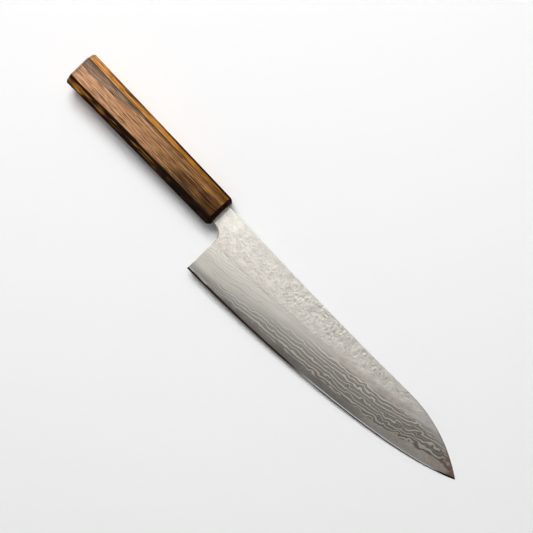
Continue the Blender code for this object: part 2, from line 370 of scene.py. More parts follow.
def ruled_lines(lift, end_x):
    """Upper and lower ends of all lines. Lift(x) is the lower limit's height above the edge."""
    tang = np.append(np.linspace(TANG_END_X, FRONT_X - 0.05, 10), FRONT_X - 0.01)
    half = np.interp(tang, (TANG_END_X, 0), (3.0, 5.0))
    neck = np.linspace(FRONT_X, NECK_STRAIGHT, 5)
    angle = np.linspace(0, math.pi / 2, CHOIL_LINES)[1:]
    choil = np.stack([np.sin(angle), np.cos(angle) - 1], 1) * CHOIL_RADIUS
    heel_end = -HEEL_DEPTH + float(lift(np.array([HEEL_X]))[0])
    down = np.linspace(-NECK_DEPTH - CHOIL_RADIUS, heel_end, HEEL_LINES)[1:]
    run = np.concatenate([np.arange(HEEL_X, end_x - 6, 0.5)[1:], np.linspace(end_x - 6, end_x, 24)])
    upper = [
        np.stack([tang, half], 1),
        on_spine(neck),
        on_spine(np.linspace(NECK_STRAIGHT, CHOIL_TOP_X, CHOIL_LINES)[1:]),
        on_spine(np.linspace(CHOIL_TOP_X, HEEL_X + HEEL_LEAN, HEEL_LINES)[1:]),
        on_spine(run + HEEL_LEAN * np.clip(1 - (run - HEEL_X) / 60, 0, 1) ** 2),
    ]
    lower = [
        np.stack([tang, -half], 1),
        np.stack([neck, 0 * neck - NECK_DEPTH], 1),
        choil + (NECK_STRAIGHT, -NECK_DEPTH),
        np.stack([0 * down + HEEL_X, down], 1),
        np.stack([run, edge_y(run) + lift(run)], 1),
    ]
    return np.vstack(upper), np.vstack(lower)


def across(upper, lower, shares):
    """Points along each line: upper + share * (lower - upper), for every line and every share."""
    return upper[:, None] + shares[..., None] * (lower - upper)[:, None]


# %% [markdown]
# ## Shader nodes in short
# Materials below are long chains of small nodes. A helper adds a node to a tree, sets its options and plugs in
# its inputs in one line, so that a chain reads like a formula. The letter n stands for the nodes of one tree. An
# effect that several materials share becomes a node group, which is built once and has named inputs and outputs.

# %% Node helpers
class Nodes:
    """Adds nodes to one tree. Most methods return the new node's output, for the next one to use."""

    def __init__(self, tree):
        self.tree = tree

    def feed(self, socket, value):
        if isinstance(value, bpy.types.NodeSocket):
            self.tree.links.new(value, socket)
        else:
            socket.default_value = value

    def node(self, kind, feeds, out=0, **options):
        made = self.tree.nodes.new("ShaderNode" + kind)
        for option, choice in options.items():
            setattr(made, option, choice)
        for socket, value in feeds.items():
            self.feed(made.inputs[socket], value)
        return made.outputs[out]

    def use(self, group, **values):
        """All outputs of a group, by name."""
        made = self.tree.nodes.new("ShaderNodeGroup")
        made.node_tree = group
        for label, value in values.items():
            self.feed(made.inputs[label], value)
        return made.outputs

    def calc(self, operation, *values):
        return self.node("Math", dict(enumerate(values)), operation=operation)

    def scale_add(self, value, factor, extra):
        """value * factor + extra."""
        return self.calc("MULTIPLY_ADD", value, factor, extra)

    def times(self, first, *others):
        """The product of all values."""
        for other in others:
            first = self.calc("MULTIPLY", first, other)
        return first

    def rise(self, value, low, high, to_low=0.0, to_high=1.0):
        """Like ease, from to_low, below low, to to_high, above high."""
        feeds = {0: value, 1: low, 2: high, 3: to_low, 4: to_high}
        return self.node("MapRange", feeds, interpolation_type="SMOOTHSTEP")

    def mix(self, share, near, far, blend="MIX"):
        near, far = ((*c, 1.0) if isinstance(c, tuple) else c for c in (near, far))
        return self.node("Mix", {0: share, 6: near, 7: far}, 2, data_type="RGBA", blend_type=blend)

    def grain(self, place, stretch, detail=2.0, roughness=0.5):
        """Noise in [0, 1] at a place in mm. Stretch is the size of one blob along x, y and z, in mm."""
        scale = tuple(1 / s for s in stretch)
        scaled = self.node("VectorMath", {0: place, 1: scale}, operation="MULTIPLY")
        feeds = {"Vector": scaled, "Scale": 1.0, "Detail": detail, "Roughness": roughness}
        return self.node("TexNoise", feeds)

    def mark(self, label):
        """A value that is written on the mesh, point by point."""
        return self.node("Attribute", {}, 2, attribute_name=label)

    def look(self, shader, color, rough, height, depth):
        """Colour, roughness and relief. Depth is how far a height of 1 stands out, in metres."""
        self.feed(shader.inputs["Base Color"], color)
        self.feed(shader.inputs["Roughness"], rough)
        self.feed(shader.inputs["Normal"], self.node("Bump", {"Height": height, "Distance": depth}))


def shader_group(name, inputs, build):
    """A group with named inputs. Build gets its nodes and inputs, and returns its outputs by name."""
    tree = bpy.data.node_groups.new(name, "ShaderNodeTree")
    for label, value in inputs.items():
        kind = "NodeSocketFloat" if isinstance(value, float) else "NodeSocketVector"
        socket = tree.interface.new_socket(name=label, in_out="INPUT", socket_type=kind)
        socket.default_value = value
    n = Nodes(tree)
    results = build(n, tree.nodes.new("NodeGroupInput").outputs)
    for label in results:
        tree.interface.new_socket(name=label, in_out="OUTPUT", socket_type="NodeSocketFloat")
    last = tree.nodes.new("NodeGroupOutput")
    for label, value in results.items():
        n.feed(last.inputs[label], value)
    print("group", name, len(tree.nodes), "nodes")
    return tree


def start_material(name):
    made = bpy.data.materials.new(name)
    made.use_nodes = True
    return made, Nodes(made.node_tree), made.node_tree.nodes["Principled BSDF"]


# %% [markdown]
# ## Places for patterns
# Steel patterns follow the blade, so they read its own UV map, here in millimetres: U runs along the blade
# and V is the height above the edge. Wood grain runs through the timber, so it reads Object coordinates.

# %% Pattern coordinates
def blade_place(n, seed):
    """(mm along the blade, mm above the edge, seed)."""
    split = n.node("SeparateXYZ", {0: n.node("UVMap", {}, uv_map="flow")}).node.outputs
    return split[0], split[1], n.node("CombineXYZ", {0: split[0], 1: split[1], 2: seed})


def timber_place(n):
    """Object coordinates in mm, from the handle's axis."""
    raw = n.node("TexCoord", {}, 3)
    moved = n.node("Mapping", {"Vector": raw, "Location": (0, 0, -BLADE_MIDDLE)})
    return n.node("VectorMath", {0: moved, "Scale": 1000.0}, operation="SCALE")


# %% [markdown]
# ## Scratches and smudges
# Every ground or handled surface has them. The scratches are noise that is stretched a hundred times along
# one direction. The smudges are soft blobs that only change how glossy a surface is.

# %% Group: fine scratches
def build_scratches(n, given):
    long = n.grain(given["Place"], (22.0, 0.16, 1.0), 3.0, 0.6)
    short = n.grain(given["Place"], (0.60, 2.4, 1.0), 3.0, 0.6)
    share = n.rise(given["Upright"], 0.0, 1.0)
    lines = n.node("Mix", {0: share, 2: long, 3: short})
    smudge = n.grain(given["Place"], (16.0, 11.0, 1.0), 3.0, 0.55)
    return {"Lines": lines, "Smudge": n.rise(smudge, 0.35, 0.68)}


scratches = shader_group("fine_scratches", {"Place": (0.0, 0.0, 0.0), "Upright": 0.0}, build_scratches)

# %% [markdown]
# ## Layered steel
# Two steels are stacked, welded, folded and hammered, so that the layers wander. The bevel cuts through them
# at a very flat angle, and each cut layer shows as a line, like height lines on a map. The group does just
# that: it takes the height above the weld line, adds a slow wander and quick humps, divides by the spacing, and
# draws a light line at every whole number. Lines are unequal, since no two layers are equally thick, and the
# grey between two lines is a little lighter in its middle.

# %% Group: layered pattern
def build_layers(n, given):
    """Level = (height + wander + humps) / spacing + extra lines at the heel. Wave = cos(2 pi level)."""
    place, layer = given["Place"], given["Layer"]
    along = n.node("SeparateXYZ", {0: place})
    slow = n.calc("SUBTRACT", n.grain(place, (24.0, 10.0, 1.0), 1.0), 0.5)
    quick = n.calc("SUBTRACT", n.grain(place, (6.5, 6.0, 1.0), 1.0, 0.45), 0.5)
    humps = n.rise(n.grain(place, (5.0, 4.0, 1.0), 0.0), 0.54, 0.72)
    quick = n.scale_add(humps, -0.28, quick)
    by_tip = n.rise(along, 90.0, 200.0, 0.9, 2.2)
    growth = n.calc("ADD", by_tip, n.rise(along, 40.0, 12.0, 0.0, 0.8))
    shift = n.times(quick, given["Jag"], growth)
    shift = n.scale_add(slow, given["Wander"], shift)
    wider = n.rise(along, 140.0, 200.0, 1.0, 1.2)
    spacing = n.times(given["Spacing"], n.rise(along, 15.0, 80.0, 0.85, 1.0), wider)
    denser = n.times(n.rise(layer, 0.0, 6.0), n.rise(along, 80.0, 20.0, 0.0, 1.2))
    level = n.calc("DIVIDE", n.calc("ADD", layer, shift), spacing)
    level = n.calc("ADD", level, denser)
    number = n.calc("FLOOR", n.calc("ADD", level, 0.5))
    which = n.calc("ADD", number, given["Seed"])
    luck = n.node("TexWhiteNoise", {"W": which}, noise_dimensions="1D")
    wave = n.calc("COSINE", n.times(level, math.tau))
    limit = n.scale_add(luck, 0.7, -0.30)
    line = n.rise(n.calc("SUBTRACT", wave, limit), -0.1, 0.75)
    hair = n.times(n.rise(wave, 0.45, 0.98), n.rise(luck, 0.0, 0.4, 0.3, 1.0))
    middle = n.times(n.rise(wave, -0.25, -0.95), luck)
    return {"Line": line, "Hair": hair, "Middle": middle}


layers = shader_group(
    "layered_pattern",
    {"Place": (0.0, 0.0, 0.0), "Layer": 0.0, "Spacing": 2.15, "Wander": 3.5, "Jag": 2.2, "Seed": 1.0},
    build_layers,
)

# %% [markdown]
# ## Cladding finish
# Three looks share one material. Above the bevel the steel keeps its forged skin, pale and matt, with painted
# shade in its pits, which come in loose clusters, and a painted highlight beside the handle. On the bevel the
# etched
# layers show: faint tan hairlines at the heel, then clear pale lines between grey bands, which start at the weld
# line and reach higher and higher towards the tip. A plain brownish strip lies between the lines and the forged
# skin, and at the tip it widens and rusts a little.
#
# Each look is a function here, and masks along and above the edge, in mm, say where it shows. The mark "forged",
# written on the mesh where the forged surface was the lower one, tells skin from bevel. All of it is metal, so
# colour is the tint of what it mirrors.

# %% Looks on the cladding
def forged_skin(n, along, above, place, mottle, pitting):
    """Pale steel, browner low down, with painted shade in its pits near the spine and a painted highlight beside
    the handle.
    """
    pale = n.mix(n.rise(mottle, 0.35, 0.65), (0.55, 0.525, 0.487), (0.655, 0.63, 0.578))
    slant = n.node("Mapping", {"Vector": place, "Rotation": (0.0, 0.0, -0.9)})
    smear = n.rise(n.grain(slant, (4.5, 2.0, 1.0), 3.0, 0.6), 0.38, 0.62, 0.15, 0.6)
    pale = n.mix(n.times(n.rise(above, 32.0, 23.0), smear), pale, (0.56, 0.49, 0.445))
    clusters = n.rise(n.grain(place, (9.0, 7.0, 1.0), 2.0), 0.42, 0.62, 0.2, 1.0)
    # Painted shade: the pits are darkened in colour, in loose clusters, for the shade in their hollows.
    pits = n.times(n.rise(pitting, 0.50, 0.34), clusters, n.rise(along, 20.0, 100.0, 0.15, 0.60))
    pits = n.times(pits, n.rise(above, 22.5, 34.0, 0.15, 1.2))
    pale = n.mix(pits, pale, (0.27, 0.248, 0.215))
    # Painted highlight: lighter near the neck, and lightest right beside the handle, where the handle shades the
    # steel.
    neck_highlight = n.times(n.rise(along, 28.0, 10.0), n.rise(above, 30.0, 38.0))
    pale = n.mix(neck_highlight, pale, (1.12, 1.12, 1.12), "MULTIPLY")
    return n.mix(n.rise(along, 4.2, 1.2), pale, (1.0, 0.975, 0.92))


def plain_bevel(n, along, above, mottle, hair):
    """Grey with tan hairlines at the heel, brown further on, and paler where the spine starts to drop."""
    hair = n.times(hair, n.rise(above, 7.0, 13.0, 0.0, 0.85), n.rise(along, 75.0, 35.0, 0.5, 1.0))
    hair = n.times(hair, n.rise(mottle, 0.30, 0.55, 0.35, 1.0))
    plain = n.mix(hair, (0.54, 0.52, 0.478), (0.385, 0.33, 0.245))
    brown = n.mix(n.rise(mottle, 0.35, 0.6), (0.47, 0.415, 0.372), (0.56, 0.515, 0.465))
    plain = n.mix(n.rise(along, 90.0, 140.0), plain, brown)
    plain = n.mix(n.rise(along, 178.0, 200.0, 0.0, 0.5), plain, (0.46, 0.42, 0.385))
    by_spine = n.times(n.rise(above, 21.0, 23.5), n.rise(along, 165.0, 178.0))
    by_spine = n.times(by_spine, n.rise(mottle, 0.35, 0.60, 0.55, 1.15))
    return n.mix(by_spine, plain, (0.62, 0.60, 0.575))


def etched_bands(n, along, lines):
    """Grey bands, lighter by the heel and in their middles, with pale lines between them."""
    deep = n.mix(n.rise(along, 130.0, 190.0), (0.255, 0.238, 0.226), (0.225, 0.200, 0.190))
    deep = n.mix(n.rise(along, 120.0, 25.0, 0.0, 0.8), deep, (0.38, 0.365, 0.355))
    bands = n.mix(lines["Middle"], deep, (0.40, 0.375, 0.345))
    light = n.mix(n.rise(along, 40.0, 110.0), (0.57, 0.55, 0.505), (0.65, 0.62, 0.53))
    return n.mix(lines["Line"], bands, light)


def etch_mask(n, along, above):
    """Lines show up to a height that grows by 0.205 mm for each mm along the blade, but never past 21.5 mm.
    From 175 mm along, that ceiling comes down by 5.8 (along / 25 - 7)^2 mm."""
    start = n.scale_add(along, 0.205, n.rise(along, 90.0, 20.0, -0.6, 1.2))
    reach = n.calc("SUBTRACT", above, start)
    reach = n.calc("DIVIDE", reach, n.rise(along, 20.0, 90.0, 2.0, 7.0))
    nearing = n.calc("MAXIMUM", n.scale_add(along, 0.04, -7.0), 0.0)
    topmost = n.scale_add(n.calc("POWER", nearing, 2.0), 5.8, above)
    past_top = n.calc("SUBTRACT", topmost, 21.5)
    past_top = n.calc("DIVIDE", past_top, n.rise(along, 145.0, 175.0, 0.7, 2.4))
    below_start = n.times(n.rise(reach, 1.0, -1.0), n.rise(along, 12.0, 30.0, 0.7, 1.0))
    return n.times(below_start, n.rise(past_top, 1.0, -1.0))


# %% Material: layered steel
def cladding_steel(name, seed):
    made, n, shader = start_material(name)
    along, above, place = blade_place(n, seed)
    forged = n.mark("forged")
    marks = n.use(scratches, Place=place, Upright=0.6)
    lines = n.use(layers, Place=place, Layer=n.mark("layer"), Seed=seed)
    mottle = n.grain(place, (5.0, 4.0, 1.0), 4.0, 0.6)
    pitting = n.grain(place, (1.5, 1.7, 1.0), 3.0, 0.55)

    plain = plain_bevel(n, along, above, mottle, lines["Hair"])
    ground = n.mix(etch_mask(n, along, above), plain, etched_bands(n, along, lines))
    # Painted shade: the bevel is darkened towards the weld line, for the convex grind turning away from the
    # light. Low down by the heel this painted shade is lifted again.
    ground = n.mix(n.rise(above, 24.0, 2.5), ground, (0.70, 0.69, 0.69), "MULTIPLY")
    low_heel = n.times(n.rise(above, 15.0, 7.0), n.rise(along, 110.0, 5.0))
    low_heel = n.times(low_heel, n.rise(above, 3.0, 7.5))
    ground = n.mix(low_heel, ground, (1.3, 1.3, 1.28), "MULTIPLY")
    color = n.mix(forged, ground, forged_skin(n, along, above, place, mottle, pitting))
    rust = n.times(n.rise(along, 201.0, 207.0), n.rise(mottle, 0.32, 0.58, 0.1, 0.8))
    color = n.mix(rust, color, (0.215, 0.135, 0.108))
    # Painted shade along the spine near the tip and round the choil, where the steel's own walls turn from the
    # light.
    color = n.mix(n.mark("rim"), color, (0.16, 0.15, 0.14))
    smooth = n.rise(marks["Smudge"], 0.0, 1.0, 0.40, 0.45)
    rough = n.node("Mix", {0: forged, 2: smooth, 3: 0.58})
    relief = n.node("Mix", {0: forged, 2: n.times(marks["Lines"], 0.08), 3: pitting})
    n.look(shader, color, rough, relief, 0.00018)
    shader.inputs["Metallic"].default_value = 1.0
    return made


# %% [markdown]
# ## Core steel finish
# The bare core is one plain steel. Sharpening on a fine stone leaves upright scratches on the band and a
# narrower bevel. That bevel carries a painted reflection: bright along its middle stretch, with a dark outermost
# line there, and dark near the heel and at the tip. The band itself carries painted light: it is darkest halfway
# along and lighter by the heel and towards the tip. It turns a little brown towards the tip.

# %% Material: core steel
def core_finish():
    made, n, shader = start_material("core_steel_ground")
    along, above, place = blade_place(n, 3.0)
    marks = n.use(scratches, Place=place, Upright=1.0)
    tone = n.mix(marks["Lines"], (0.20, 0.185, 0.165), (0.58, 0.535, 0.485))
    # Painted light: the band is lighter by the heel and towards the tip and darkest halfway along, for how much
    # light it mirrors there.
    heel_light = n.rise(along, 10.0, 36.0, 1.5, 0.62)
    painted_light_along = n.times(heel_light, n.rise(along, 115.0, 205.0, 1.08, 2.4))
    tone = n.mix(1.0, tone, painted_light_along, "MULTIPLY")
    tone = n.mix(n.rise(along, 185.0, 208.0), tone, (0.93, 0.88, 0.855), "MULTIPLY")
    tone = n.mix(n.rise(along, 210.0, 214.0, 0.0, 0.75), tone, (0.20, 0.115, 0.085))
    height = n.calc("DIVIDE", above, n.rise(along, 10.0, 100.0, 1.35, 1.15))
    on_bevel = n.rise(height, 1.08, 0.92)
    # Painted reflection on the narrow bevel: bright along its middle stretch with a dark outermost line there,
    # and dark red-brown by the heel and at the tip.
    edge_shade_line = n.times(n.rise(height, 0.52, 0.42), n.rise(along, 108.0, 125.0))
    bevel_glint = n.times(n.rise(along, 91.0, 123.0), n.rise(along, 210.0, 203.0))
    bevel_glint = n.times(bevel_glint, n.scale_add(edge_shade_line, -0.88, 1.0))
    bevel_reflection = n.mix(bevel_glint, (0.050, 0.024, 0.017), (0.66, 0.66, 0.67))
    color = n.mix(on_bevel, tone, bevel_reflection)
    smooth = n.rise(marks["Smudge"], 0.0, 1.0, 0.30, 0.38)
    rough = n.node("Mix", {0: n.times(on_bevel, bevel_glint), 2: smooth, 3: 0.6})
    n.look(shader, color, rough, marks["Lines"], 0.000004)
    shader.inputs["Metallic"].default_value = 1.0
    return made


# %% [markdown]
# ## Cladding plates
# Each plate is one closed ring per ruled line: up the spine's wall, across the outer face from spine to weld
# line, and back along the flat inner face. Shares near 0 and 1 are closer together, where corners are round.

# %% Build the two claddings
CLADDING_END_X = 212.5
near_spine, near_weld = [0, 0.001, 0.002, 0.0035, 0.006], [0.994, 0.9975, 0.999, 1]
shares = np.concatenate([near_spine, np.linspace(0.011, 0.989, 86), near_weld])
return_shares = np.linspace(1, 0, 6)


def flow_over(rings):
    """(mm along the blade, mm above the edge) for every point."""
    return np.stack([rings[..., 0], rings[..., 1] - edge_y(rings[..., 0])], axis=-1)


def cladding(name, node_name, side, seed):
    """Lower of the forged side and the bevel, softly: height = -ln(e^(-k forged) + e^(-k bevel)) / k."""
    upper, lower = ruled_lines(weld_height, CLADDING_END_X)
    outer = across(upper, lower, shares)
    inner = across(upper, lower, return_shares)
    x, y = outer[..., 0], outer[..., 1]
    forged, bevel = forged_height(x, y, seed), bevel_height(x, y - edge_y(x))
    k = 70.0
    low = -np.log(np.exp(-k * forged) + np.exp(-k * bevel)) / k
    low = np.where(x < FRONT_X, CLADDING_INNER + cladding_thickness(x), low - corner_round(x, y))
    low = np.maximum(low, CLADDING_INNER + 0.0005)
    outside = np.dstack([outer, side * low])
    inside = np.dstack([inner, np.full(inner.shape[:2], side * CLADDING_INNER)])
    rings = np.concatenate([outside, inside], axis=1)
    mark = np.concatenate([1 / (1 + np.exp(-k * (bevel - forged))), np.zeros(inner.shape[:2])], axis=1)
    flow = flow_over(rings)
    rim = painted_rim_shade(rings[..., 0], rings[..., 1])
    layer = layer_height(flow[..., 0], flow[..., 1])
    finish = cladding_steel(name + "_steel", float(seed))
    piece = skin(name, rings, finish, uv=flow, forged=mark, layer=layer, rim=rim)
    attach(piece, "root")
    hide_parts(node_name)


cladding("cladding_right_skin", "cladding_right", 1, 11)
cladding("cladding_left_skin", "cladding_left", -1, 47)

# %% [markdown]
# ## Core plate
# The core is covered except for its band along the edge, so its grid needs fine rows only there. Under the
# cladding it is flat, on the band it follows the bevel, and at the edge both sides meet.

# %% Build the core
def core_half_height(x, y):
    v = np.maximum(y - edge_y(x), 0)
    covered = (v > weld_height(x) + 0.02) | (x < HEEL_X - 0.001)
    return np.where(covered, CORE_HALF, bevel_height(x, v))


def build_core():
    upper, lower = ruled_lines(lambda x: x * 0, TIP_X - 0.15)
    height = upper[:, 1] - lower[:, 1]
    weld = np.clip(weld_height(lower[:, 0]) / height, 0, 0.6)
    fine = np.clip(MICRO_BEVEL / height, 0, 0.3)
    rows = [(1 - weld) * k for k in (0, 0.3, 0.6, 0.9)] + [1 - weld - 0.002]
    rows += [1 - weld + (weld - fine) * k for k in np.linspace(0, 1, 16)]
    rows += [1 - fine * k for k in (0.66, 0.33, 0)]
    points = across(upper, lower, np.stack(rows, axis=1))
    z = core_half_height(points[..., 0], points[..., 1])
    rings = np.concatenate([np.dstack([points, z]), np.dstack([points, -z])[:, ::-1]], axis=1)
    piece = skin("blade_core_skin", rings, core_finish(), uv=flow_over(rings))
    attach(piece, "root")
    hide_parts("blade_core")


build_core()

# %% [markdown]
# ## Wood grain
# A plank is a slice of nested cones: growth rings round a pith, here outside the handle, that lean a little
# against its axis. The group measures the distance from that pith, bends it with slow noise, and reads a
# random strip of dark and light rings. Fibres and pores are noise stretched along the timber. Because all of
# it is worked out in three dimensions, end grain comes out right on the ends without more work.

# %% Group: wood grain
def build_grain(n, given):
    place = given["Place"]
    along, side, up = n.node("SeparateXYZ", {0: place}).node.outputs
    pith_side, pith_up = n.node("SeparateXYZ", {0: given["Pith"]}).node.outputs[1:3]
    bend = n.calc("SUBTRACT", n.grain(place, (55.0, 11.0, 11.0), 2.0), 0.5)
    side = n.scale_add(along, given["Lean"], n.calc("SUBTRACT", side, pith_side))
    side = n.scale_add(bend, 6.0, side)
    up = n.calc("SUBTRACT", up, pith_up)
    far = n.calc("SQRT", n.scale_add(side, side, n.times(up, up)))
    strip = n.calc("DIVIDE", far, given["Ring width"])
    rings = n.node("TexNoise", {"W": strip, "Scale": 1.0, "Detail": 2.5}, noise_dimensions="1D")
    rings = n.rise(rings, 0.34, 0.66)
    fibre = n.grain(place, (16.0, 0.55, 0.55), 4.0, 0.6)
    pores = n.rise(n.grain(place, (8.0, 0.42, 0.42), 1.5, 0.4), 0.52, 0.66)
    flame = n.grain(place, (26.0, 2.6, 2.6), 3.0, 0.55)
    height = n.scale_add(pores, -1.0, n.times(fibre, 0.5))
    return {"Rings": rings, "Fibre": fibre, "Pores": pores, "Flame": flame, "Height": height}


wood_grain = shader_group(
    "wood_grain",
    {"Place": (0.0, 0.0, 0.0), "Pith": (0.0, 0.0, 0.0), "Lean": 0.03, "Ring width": 1.2},
    build_grain,
)

# %% [markdown]
# ## Burnt oak
# The maker scorches the finished octagon with a flame, brushes the soot off and oils it. Flats that the flame
# only licked stay golden, others turn nearly black, and the dark stays in the pores and along the sharp
# arrises. How much each facet is burnt is written on the mesh as the mark "scorch". The grain then decides
# where the burn bites first.

# %% Material: burnt oak
def burnt_oak():
    made, n, shader = start_material("burnt_oak_oiled")
    place = timber_place(n)
    wood = n.use(wood_grain, Place=place, Pith=(0.0, 34.0, -22.0), Lean=0.055)
    labels = ("scorch", "ash", "arris", "grey", "wedge")
    scorch, ash, arris, grey, wedge = (n.mark(label) for label in labels)
    gold = n.mix(wood["Rings"], (0.86, 0.365, 0.046), (0.56, 0.205, 0.016))
    tan = n.mix(wood["Rings"], (0.70, 0.40, 0.225), (0.50, 0.265, 0.135))
    base = n.mix(ash, gold, tan)
    along = n.node("SeparateXYZ", {0: place})
    # Lighter and paler towards the butt: partly paler wood, partly a painted sheen.
    base = n.mix(n.rise(along, -18.0, -58.0), base, (1.16, 1.17, 1.22), "MULTIPLY")
    ragged = n.scale_add(wood["Fibre"], 1.2, n.calc("SUBTRACT", wedge, 0.6))
    in_wedge = n.times(grey, n.rise(ragged, -0.15, 0.35))
    base = n.mix(in_wedge, base, (0.31, 0.232, 0.172))
    border = n.times(n.rise(ragged, -0.35, 0.05), n.rise(ragged, 0.55, 0.15), grey, 0.7)
    base = n.mix(border, base, (0.10, 0.060, 0.036))
    base = n.mix(n.rise(wood["Fibre"], 0.35, 0.72, 0.0, 0.5), base, (0.22, 0.10, 0.038))
    streak = n.scale_add(wood["Flame"], 0.9, -0.45)
    fine = n.scale_add(wood["Fibre"], 0.8, -0.4)
    bite = n.calc("ADD", scorch, n.calc("ADD", streak, fine))
    base = n.mix(n.rise(bite, 0.0, 1.0), base, (0.005, 0.003, 0.002))
    base = n.mix(n.times(wood["Pores"], 0.8), base, (0.050, 0.022, 0.010))
    base = n.mix(n.times(arris, 0.85), base, (0.012, 0.007, 0.004))
    rough = n.rise(wood["Fibre"], 0.3, 0.7, 0.42, 0.58)
    n.look(shader, base, rough, wood["Height"], 0.00006)
    shader.inputs["Specular IOR Level"].default_value = 0.02
    return made


# %% [markdown]
# ## The octagonal handle
# A cross-section is a rectangle with its corners planed off. Each of the eight corners is softened by a small
# Bezier arc, with the sharp corner as its pull, and the flats between them are straight rows of points. The
# sizes of the octagon change along the handle, so the ring is worked out for all stations at once. Both ends
# are chamfered by drawing the ring inwards, and the front then runs into the round bore.

# %% Octagon rings
HANDLE_LENGTH = 124.0
BUTT_HALF, FRONT_HALF = (12.0, 10.25), (10.95, 9.35)
FACET_RUN = (4.5, 3.8)
BORE_RADIUS, BORE_END = 6.6, -104.8
ARC_STEPS, FLAT_STEPS = 5, 13


def octagon(x, inset):
    """Rings of an octagon with half sizes a and b. Drawing it in by q shortens a planed corner by 0.586 q.
    The width flares a little at the butt, by 0.3 mm, and the axis swings there by 0.2 mm to the edge's side."""
    share = np.clip((x + HANDLE_LENGTH) / HANDLE_LENGTH, 0, 1)
    a, b = (n + share * (f - n) - inset for n, f in zip(BUTT_HALF, FRONT_HALF))
    a = a + 0.3 * np.exp(-share * 10)
    run = FACET_RUN[0] + share * (FACET_RUN[1] - FACET_RUN[0])
    c = run - 0.586 * inset + 0.25 * noise(x / 23.0, x * 0 + 0.5, 31)
    pairs = ((a, b - c), (a - c, b), (c - a, b), (-a, b - c), (-a, c - b), (c - a, -b), (a - c, -b), (a, c - b))
    corner = np.stack([np.stack(pair, axis=-1) for pair in pairs], axis=1)
    way = np.roll(corner, -1, axis=1) - corner
    way /= np.linalg.norm(way, axis=-1, keepdims=True)
    reach = np.minimum(0.5, 0.3 * c)[:, None, None]
    leave, arrive = corner + reach * way, corner - reach * np.roll(way, 1, axis=1)
    t = np.linspace(0, 1, ARC_STEPS)[:, None]
    arc = (1 - t) ** 2 * arrive[:, :, None] + 2 * t * (1 - t) * corner[:, :, None] + t**2 * leave[:, :, None]
    s = np.linspace(0, 1, FLAT_STEPS + 2)[1:-1, None]
    flat = leave[:, :, None] + s * (np.roll(arrive, -1, axis=1) - leave)[:, :, None]
    swing = np.stack([-0.2 * np.exp(-share * 4), 0 * x], axis=-1)[:, None]
    return np.concatenate([arc, flat], axis=2).reshape(len(x), -1, 2) + swing


# %% Build the handle
def handle_rings():
    """Rings from the butt's middle along the outside to the front face, and back down the bore. Pairs are
    (x, how far the octagon is drawn in): the butt's are counted from the butt, the front's from x = 0."""
    butt = ((0, 2.2), (0, 1.6), (0.06, 1.36), (0.2, 1.18), (1.15, 0.22), (1.32, 0.07), (1.55, 0))
    front = ((-2.1, 0), (-1.85, 0.06), (-1.6, 0.2), (0, 1.4), (FRONT_X - 0.1, 1.57), (FRONT_X, 1.8))
    body = np.linspace(2.0 - HANDLE_LENGTH, -2.5, 210)
    x = np.concatenate([[p[0] - HANDLE_LENGTH for p in butt], body, [p[0] for p in front]])
    inset = np.concatenate([[p[1] for p in butt], body * 0, [p[1] for p in front]])
    outside = octagon(x, inset)
    end = [outside[0] * k for k in (0.25, 0.5, 0.75, 0.92)]
    angle = np.arctan2(outside[-1, :, 1], outside[-1, :, 0])
    circle = np.stack([np.cos(angle), np.sin(angle)], axis=-1)
    face = [outside[-1] + (circle * (BORE_RADIUS + 0.2) - outside[-1]) * k for k in (0.3, 0.65, 1.0)]
    depth = [FRONT_X - 0.06, 0.1, -1.0, -4.0, -20.0, -50.0, -80.0, BORE_END]
    bore = [circle * (BORE_RADIUS + 0.06)] + [circle * BORE_RADIUS] * (len(depth) - 1)
    bottom = [circle * BORE_RADIUS * k for k in (0.66, 0.33)]
    sections = np.concatenate([end, outside, face, bore, bottom])
    stations = np.concatenate([[-HANDLE_LENGTH] * 4, x, [FRONT_X] * 3, depth, [BORE_END] * 2])
    return np.dstack([np.broadcast_to(stations[:, None], sections.shape[:2]), sections])


